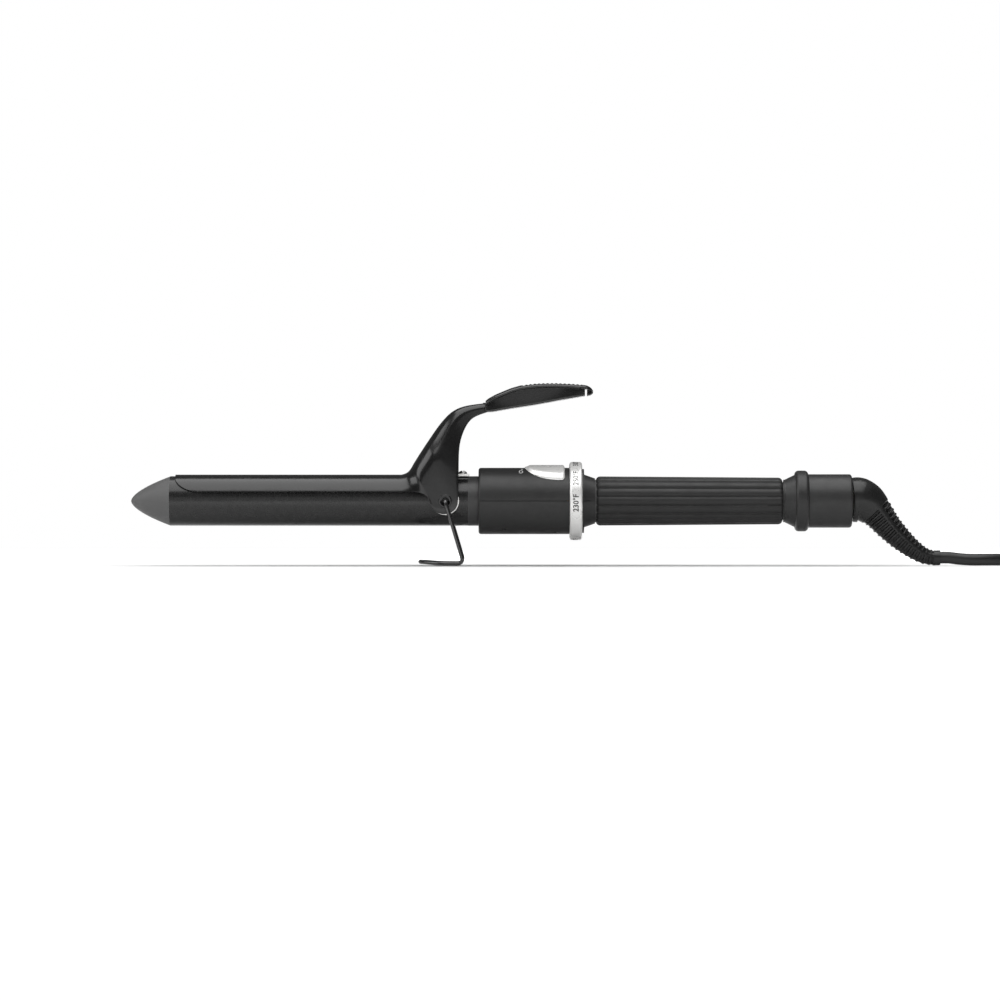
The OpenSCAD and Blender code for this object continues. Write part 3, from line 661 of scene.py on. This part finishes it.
def thumb_section(s):
    """Points (y, z) round the thumb rest at s: crowned pad, lip, sunk side wall and flat underside."""
    top, low, w = lookup(THUMB_TOP, s), lookup(THUMB_BOTTOM, s), lookup(THUMB_WIDTH, s)
    tall = top - low
    rib = 0.0
    if RIB_START < s < RIB_END:
        rib = 0.5 * RIB_HEIGHT * (math.cos(2 * math.pi * (s - RIB_START) / RIB_PITCH) - 1)
    k = min(1.0, tall / 5)
    half = [(0, top + rib), (w * 0.3, top - 0.05 + rib), (w * 0.55, top - 0.15 * k + rib),
            (w * 0.74, top - 0.32 * k + rib * 0.8), (w * 0.86, top - 0.6 * k), (w - 0.5, top - k),
            (w - 0.08, top - 1.5 * k), (w, top - 1.9 * k), (w - 0.1, top - 2.2 * k),
            (w - 1.3, top - 2.4 * k), (w - 1.7, top - 2.8 * k), (w - 0.4, low + 1.2 * k),
            (w - 0.35, low + 0.6 * k), (w - 0.6, low + 0.12 * k), (w - 1.2, low)]
    half = [(max(y, 0.0), z) for y, z in half]
    return half + [(-y, z) for y, z in reversed(half[1:])]


def make_thumb_rest():
    """The ribbed cap on the lever arm, with the slot across its rear end."""
    length = THUMB_END - THUMB_START
    places = [THUMB_START + length * k / THUMB_STEPS for k in range(THUMB_STEPS + 1)]
    rings = [[at(s, y, z) for y, z in thumb_section(s)] for s in places]
    points, faces = skin(rings)
    rest = piece("thumb_cap", points, faces)
    cut(rest, at(*SLOT_LOW), at(*SLOT_HIGH))
    bevelled(rest, 0.25, 2, 55)
    placed(smooth_shaded(settle(rest)), THUMB, "clamp", "thumb_plastic", "thumb_rest")


# ---------------------------------------------------------------- wire stand
SHOWN_WIRE_R = 1.0
STAND_Y = 16.8


def rounded_corners(points, reach, steps=6):
    """The path through the points, with each corner rounded from reach before it to reach after."""
    found = [points[0]]
    for a, v, c in zip(points, points[1:], points[2:]):
        p = v + (a - v).normalized() * min(reach, (a - v).length / 2)
        q = v + (c - v).normalized() * min(reach, (c - v).length / 2)
        for k in range(steps + 1):
            t = k / steps
            found.append(p * (1 - t) ** 2 + v * 2 * t * (1 - t) + q * t * t)
    found.append(points[-1])
    return found


def make_stand():
    """One bent wire from stud to stud, whose lowest bends stand on the floor."""
    foot = -AXIS_Z / MM + SHOWN_WIRE_R
    half = [(0, 13.3, 0), (0, STAND_Y, 0), (9.6, STAND_Y, foot), (-3, STAND_Y - 0.4, foot + 0.2),
            (-12.9, 8, foot + 1.0)]
    corners = [Vector((x, -y, z)) for x, y, z in half] + [Vector(p) for p in reversed(half)]
    path = [about_hinge(*p) for p in rounded_corners(corners, 4)]
    points, faces = skin(tube_rings(path, SHOWN_WIRE_R * MM, 20, first=(1, 0, 0)))
    placed(piece("stand_wire", points, faces), WIRE, "stand", "wire_black", "wire_stand")


# ---------------------------------------------------------------- pivot studs
# radius and distance from the middle plane of the stud's outline, from its bore outwards
STUD = [(1.3, 13.0), (1.3, 14.7), (1.6, 14.9), (2.1, 15.0), (2.5, 15.2), (2.8, 15.3), (3.15, 15.22),
        (3.38, 15.0), (3.4, 14.5), (2.85, 14.45), (2.85, 13.0)]


def make_stud(side):
    """The flanged end of a hollow stud; side is -1 for the near one and 1 for the far one."""
    around = 48
    angles = [2 * math.pi * k / around for k in range(around)]
    rings = [[about_hinge(r * math.cos(angle), side * y, r * math.sin(angle)) for angle in angles]
             for r, y in STUD]
    points, faces = skin(rings, ends="joined")
    node = "pivot_stud_near" if side < 0 else "pivot_stud_far"
    placed(piece(node + "_head", points, faces), STUD_BLACK, "iron", "stud_steel", node)


# ---------------------------------------------------------------- clamp spring
SPRING_TURNS = 8
COIL_R = 2.6
SPRING_AXIS = (0.5, 19.0)
COIL_HALF = 4.4


def make_spring():
    """A torsion spring: its long leg presses on the lever arm."""
    x0, z0 = SPRING_AXIS
    steps = SPRING_TURNS * 24
    coil = []
    for k in range(steps + 1):
        angle = 2 * math.pi * k / 24
        coil.append((x0 + COIL_R * math.cos(angle), -COIL_HALF + 2 * COIL_HALF * k / steps,
                     z0 + COIL_R * math.sin(angle)))
    leg = spline([(0.4, -COIL_HALF, 40.4), (2.4, -COIL_HALF, 35.5), (4.0, -COIL_HALF, 30),
                  (3.7, -COIL_HALF, 24), coil[0]], 6)[:-1]
    rest = [(3.1, COIL_HALF, 17.6), (3.6, COIL_HALF, 16.2), (6, COIL_HALF, 14.6)]
    path = [about_hinge(*p) for p in leg + coil + rest]
    points, faces = skin(tube_rings(path, 0.5 * MM, 12, first=(0, 1, 0)))
    spring = piece("spring_wire", points, faces)
    placed(spring, STEEL, None, "spring_steel", "clamp_spring")
    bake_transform(spring)


# ---------------------------------------------------------------- slide switch
# distance from the tip, and height of the slider's edge above the axis, in mm
SLIDER_EDGE = [(202, 17.1), (204, 15.2), (206.8, 13.5), (210, 12.2), (213.5, 11.4), (217.8, 10.9),
               (221.4, 10.9), (222.4, 12.2)]
SLIDER_LIFT = 1.3
SLIDER_GAP = 0.15


def make_slider():
    """A saddle over the housing: pointed in front, wide behind, thinning towards its edges."""
    rings = []
    front, rear = SLIDER_EDGE[0][0], SLIDER_EDGE[-1][0]
    along, across = 44, 26
    inner_r = HOUSING_R + SLIDER_GAP
    for i in range(along + 1):
        s = front + (rear - front) * i / along
        reach = math.acos(min(lookup(SLIDER_EDGE, s) / (HOUSING_R + 0.5), 1.0))
        fore = smoothstep((s - front) / 3.0)
        aft = smoothstep((rear - s) / 0.7)
        outer, inner = [], []
        for k in range(across + 1):
            u = 2 * k / across - 1
            angle = reach * u
            edge = smoothstep((1 - abs(u)) * reach * HOUSING_R / 3.2)
            lift = SLIDER_LIFT * (0.16 + 0.84 * edge) * (0.25 + 0.75 * min(fore, aft))
            for row, r in ((outer, inner_r + lift), (inner, inner_r)):
                row.append(at(s, r * math.sin(angle), r * math.cos(angle)))
        rings.append(outer + inner[::-1])
    points, faces = skin(rings, ends="open")
    count = across + 1
    total = 2 * count
    for base in (0, along * total):
        for k in range(count - 1):
            faces.append((base + k, base + k + 1, base + total - 2 - k, base + total - 1 - k))
    placed(piece("slider_shell", points, faces), SILVER, "switch", "slider_silver", "switch_slider")


# ---------------------------------------------------------------- dial numbers and the off mark
DIAL_NUMBERS = [230, 250, 300, 320, 340, 360, 380, 400]
# angles in degrees round the dial, from the side that faces the camera
DIAL_STEP = 39.5
DIAL_FIRST = -3.0


def flat_letters(text, height, weight):
    """The text as a flat mesh centred on the origin, height mm tall."""
    curve = bpy.data.curves.new("letters", "FONT")
    curve.body = text
    curve.size = height / 0.7 * MM
    curve.align_x = "CENTER"
    curve.align_y = "CENTER"
    curve.resolution_u = 3
    curve.extrude = 0.03 * MM
    curve.offset = weight * MM
    source = bpy.data.objects.new("letters", curve)
    bpy.context.scene.collection.objects.link(source)
    graph = bpy.context.evaluated_depsgraph_get()
    mesh = bpy.data.meshes.new_from_object(source.evaluated_get(graph))
    bpy.data.objects.remove(source)
    return mesh


def wrapped_text(name, text, height, centre_s, centre_angle, radius, material, body, slot, upright,
                 weight=0.0):
    """Text on a cylinder round the axis. Upright text runs round the cylinder, other text along it."""
    mesh = flat_letters(text, height, weight)
    bm = bmesh.new()
    bm.from_mesh(mesh)
    bmesh.ops.subdivide_edges(bm, edges=[e for e in bm.edges if e.calc_length() > 0.5 * MM], cuts=2)
    for vertex in bm.verts:
        x, y, z = vertex.co
        round_way, along = (x, -y) if upright else (y, x)
        angle = math.radians(centre_angle) + round_way / (radius * MM)
        r = radius + z / MM
        vertex.co = at(centre_s + along / MM, -r * math.cos(angle), r * math.sin(angle))
    bm.to_mesh(mesh)
    bm.free()
    made = bpy.data.objects.new(name, mesh)
    bpy.context.scene.collection.objects.link(made)
    return placed(made, material, body, slot)


def make_marks():
    low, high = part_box("dial_ring")
    middle = ((low.x + high.x) / 2 - TIP_X) / MM
    for k, number in enumerate(DIAL_NUMBERS):
        wrapped_text(f"dial_number_{number}", f"{number}°F", 2.7, middle,
                     DIAL_FIRST + DIAL_STEP * k, DIAL_R + 0.01, PRINT, "dial", "dial_silver", True,
                     weight=0.09 if k == 0 else 0.02)
    for k, (sign, height) in enumerate((("0", 3.4), ("-", 5.0))):
        wrapped_text(f"off_mark_{k}", sign, height, 200.0, 61 + 12 * k, HOUSING_R + 0.01, PALE_PRINT,
                     "iron", "slider_silver", k == 1)


# ---------------------------------------------------------------- grip
GRIP_LOBES = 16
GROOVE = 1.3
END_ROUND = 2.2
GRIP_START, GRIP_END = 238.45, 334.15
GRIP_FRONT_R, GRIP_REAR_R = 12.6, 11.95


def make_grip():
    """The sleeve round the handle: long lobes with narrow grooves, thinner towards the rear."""
    steps, around = 64, GRIP_LOBES * 10
    rings = []
    for i in range(steps + 1):
        t = i / steps
        eased = 0.5 - 0.5 * math.cos(math.pi * t)
        s = GRIP_START + (GRIP_END - GRIP_START) * eased
        full = GRIP_FRONT_R + (GRIP_REAR_R - GRIP_FRONT_R) * eased
        near_end = min(s - GRIP_START, GRIP_END - s)
        flat = END_ROUND - min(near_end, END_ROUND)
        rounding = END_ROUND - math.sqrt(max(END_ROUND ** 2 - flat ** 2, 0))
        ring = []
        for k in range(around):
            angle = 2 * math.pi * k / around
            across = abs((angle * GRIP_LOBES / (2 * math.pi) + 0.5) % 1 - 0.5) * 2
            dip = GROOVE * (0.45 * across ** 2 + 0.55 * across ** 9)
            r = full - rounding - dip * (1 - 0.5 * rounding / END_ROUND)
            ring.append(at(s, r * math.sin(angle), r * math.cos(angle)))
        rings.append(ring)
    points, faces = skin(rings)
    placed(piece("grip_sleeve", points, faces), GRIP, "iron", "grip_rubber", "handle_grip")


# ---------------------------------------------------------------- elbow and strain relief
# mm from the tip, height above the barrel's axis, radius
RELIEF_STATIONS = [
    (370.2, 0.6, 11.2), (371.2, 0.6, 11.5), (374, 0.4, 11.4), (378, -1.6, 10.4), (383, -6.4, 8.5),
    (388.3, -12.8, 7.2), (394.5, -19.1, 6.2), (400.5, -24.2, 5.2), (406, -27.7, 4.4),
    (411, -29.1, 3.9), (415, -29.1, 3.8),
]
SLOT_PITCH, SLOT_DEPTH = 2.7, 1.9
FIRST_SLOT, PLAIN_END = 381.5, 3.5
# the uncut spine, as the cosine of the angle from the top
SPINE_PLACE, SPINE_HALF = 0.3, 0.15


def make_relief():
    """The elbow and its strain relief, one moulding with slots cut across it."""
    curve = spline(RELIEF_STATIONS, 32)
    path = [at(s, 0, h) for s, h, r in curve]
    travelled = [0.0]
    for a, b in zip(path, path[1:]):
        travelled.append(travelled[-1] + (b - a).length / MM)
    slots_from = next(d for d, (s, h, r) in zip(travelled, curve) if s > FIRST_SLOT)
    slots_to = travelled[-1] - PLAIN_END

    def radius(i, angle):
        r = curve[i][2]
        along = travelled[i] - slots_from
        if along < 0 or travelled[i] > slots_to:
            return r * MM
        phase = (along % SLOT_PITCH) / SLOT_PITCH
        groove = smoothstep((0.35 - abs(phase - 0.5)) / 0.1)
        upness = math.cos(angle)
        beside_spine = smoothstep((abs(upness - SPINE_PLACE) - SPINE_HALF) / 0.08)
        before_edge = 1 - 0.75 * smoothstep((abs(upness) - 0.82) / 0.13)
        return (r - SLOT_DEPTH * groove * beside_spine * before_edge * min(1.0, r / 6)) * MM

    points, faces = skin(tube_rings(path, radius, 96, first=(0, 0, 1)))
    placed(piece("elbow_and_relief", points, faces), RELIEF_RUBBER, "swivel", "relief_rubber",
           "strain_relief")


# ---------------------------------------------------------------- stage and light
FLOOR_X, FLOOR_NEAR, FLOOR_FAR = 3, -4, 0.8
FLOOR_DROP = 0.0002


def make_stage():
    """A pale floor that glows a little, except in a patch under the object: a painted shadow, darker
    and unlit.
    """
    corners = [(-FLOOR_X, FLOOR_NEAR, 0), (FLOOR_X, FLOOR_NEAR, 0), (FLOOR_X, FLOOR_FAR, 0),
               (-FLOOR_X, FLOOR_FAR, 0)]
    floor = piece("floor", corners, [(0, 1, 2, 3)], smooth=False)
    floor.location.z = -FLOOR_DROP
    n = Nodes("pale_floor")
    squeezed = n.add("ShaderNodeMapping", Vector=n.where)
    squeezed.inputs["Scale"].default_value = (0.32, 1, 0)
    aside = n.add("ShaderNodeVectorMath")
    aside.operation = "LENGTH"
    n.put(aside.inputs[0], squeezed.outputs[0])
    # painted shadow mask: 0 in a patch round the object, 1 on the open floor beyond it
    beyond_painted_shadow = n.ranged(aside.outputs["Value"], 0.0, 1.0, 0.02, 0.2)
    pale = n.mixed(n.ranged(n.noise(3.0), 0.0, 1.0), grey(0.88), grey(0.92))
    # painted shadow: grey(0.62) in the patch, the pale floor beyond it
    n.put(n.shader.inputs["Base Color"], n.mixed(beyond_painted_shadow, grey(0.62), pale))
    # the floor's glow is painted light, none in the painted shadow and up to 0.6 beyond it
    n.put(n.shader.inputs["Emission Strength"], n.ranged(beyond_painted_shadow, 0.0, 0.6, 0.0, 1.0))
    n.shader.inputs["Emission Color"].default_value = grey(1.0)
    n.shader.inputs["Roughness"].default_value = 0.9
    n.shader.inputs["Specular IOR Level"].default_value = 0.1
    floor.data.materials.append(n.material)


def soft_light(name, place, look_at, size, power):
    data = bpy.data.lights.new(name, "AREA")
    data.shape = "RECTANGLE"
    data.size, data.size_y = size
    data.energy = power
    light = bpy.data.objects.new(name, data)
    light.location = place
    light.rotation_euler = (Vector(look_at) - Vector(place)).to_track_quat("-Z", "Y").to_euler()
    bpy.context.scene.collection.objects.link(light)


def make_light():
    """Three soft lamps in a room that is white to the camera and dim in reflections."""
    soft_light("overhead", (0, -0.35, 1.25), (0, -0.35, 0), (1.5, 1.7), 24)
    soft_light("left_side", (-1.75, -0.5, 1.0), (0, -0.1, 0), (1.3, 1.3), 16)
    soft_light("front_fill", (0, -3.0, 0.45), (0, 0, 0), (2.0, 1.1), 4.5)
    world = bpy.data.worlds.new("pale_room")
    world.use_nodes = True
    bpy.context.scene.world = world
    tree = world.node_tree
    background = tree.nodes["Background"]
    path = tree.nodes.new("ShaderNodeLightPath")
    mix = tree.nodes.new("ShaderNodeMix")
    mix.data_type = "RGBA"
    tree.links.new(path.outputs["Is Camera Ray"], mix.inputs["Factor"])
    mix.inputs[6].default_value = grey(0.12)
    mix.inputs[7].default_value = grey(1.0)
    tree.links.new(mix.outputs[2], background.inputs["Color"])
    background.inputs["Strength"].default_value = 1.0
    bpy.context.scene.view_settings.view_transform = "Standard"


finish_cad_nodes()
make_clamp()
make_tongue()
make_thumb_rest()
make_stand()
make_spring()
for stud_side in (-1, 1):
    make_stud(stud_side)
make_slider()
make_marks()
make_grip()
make_relief()
make_stage()
make_light()
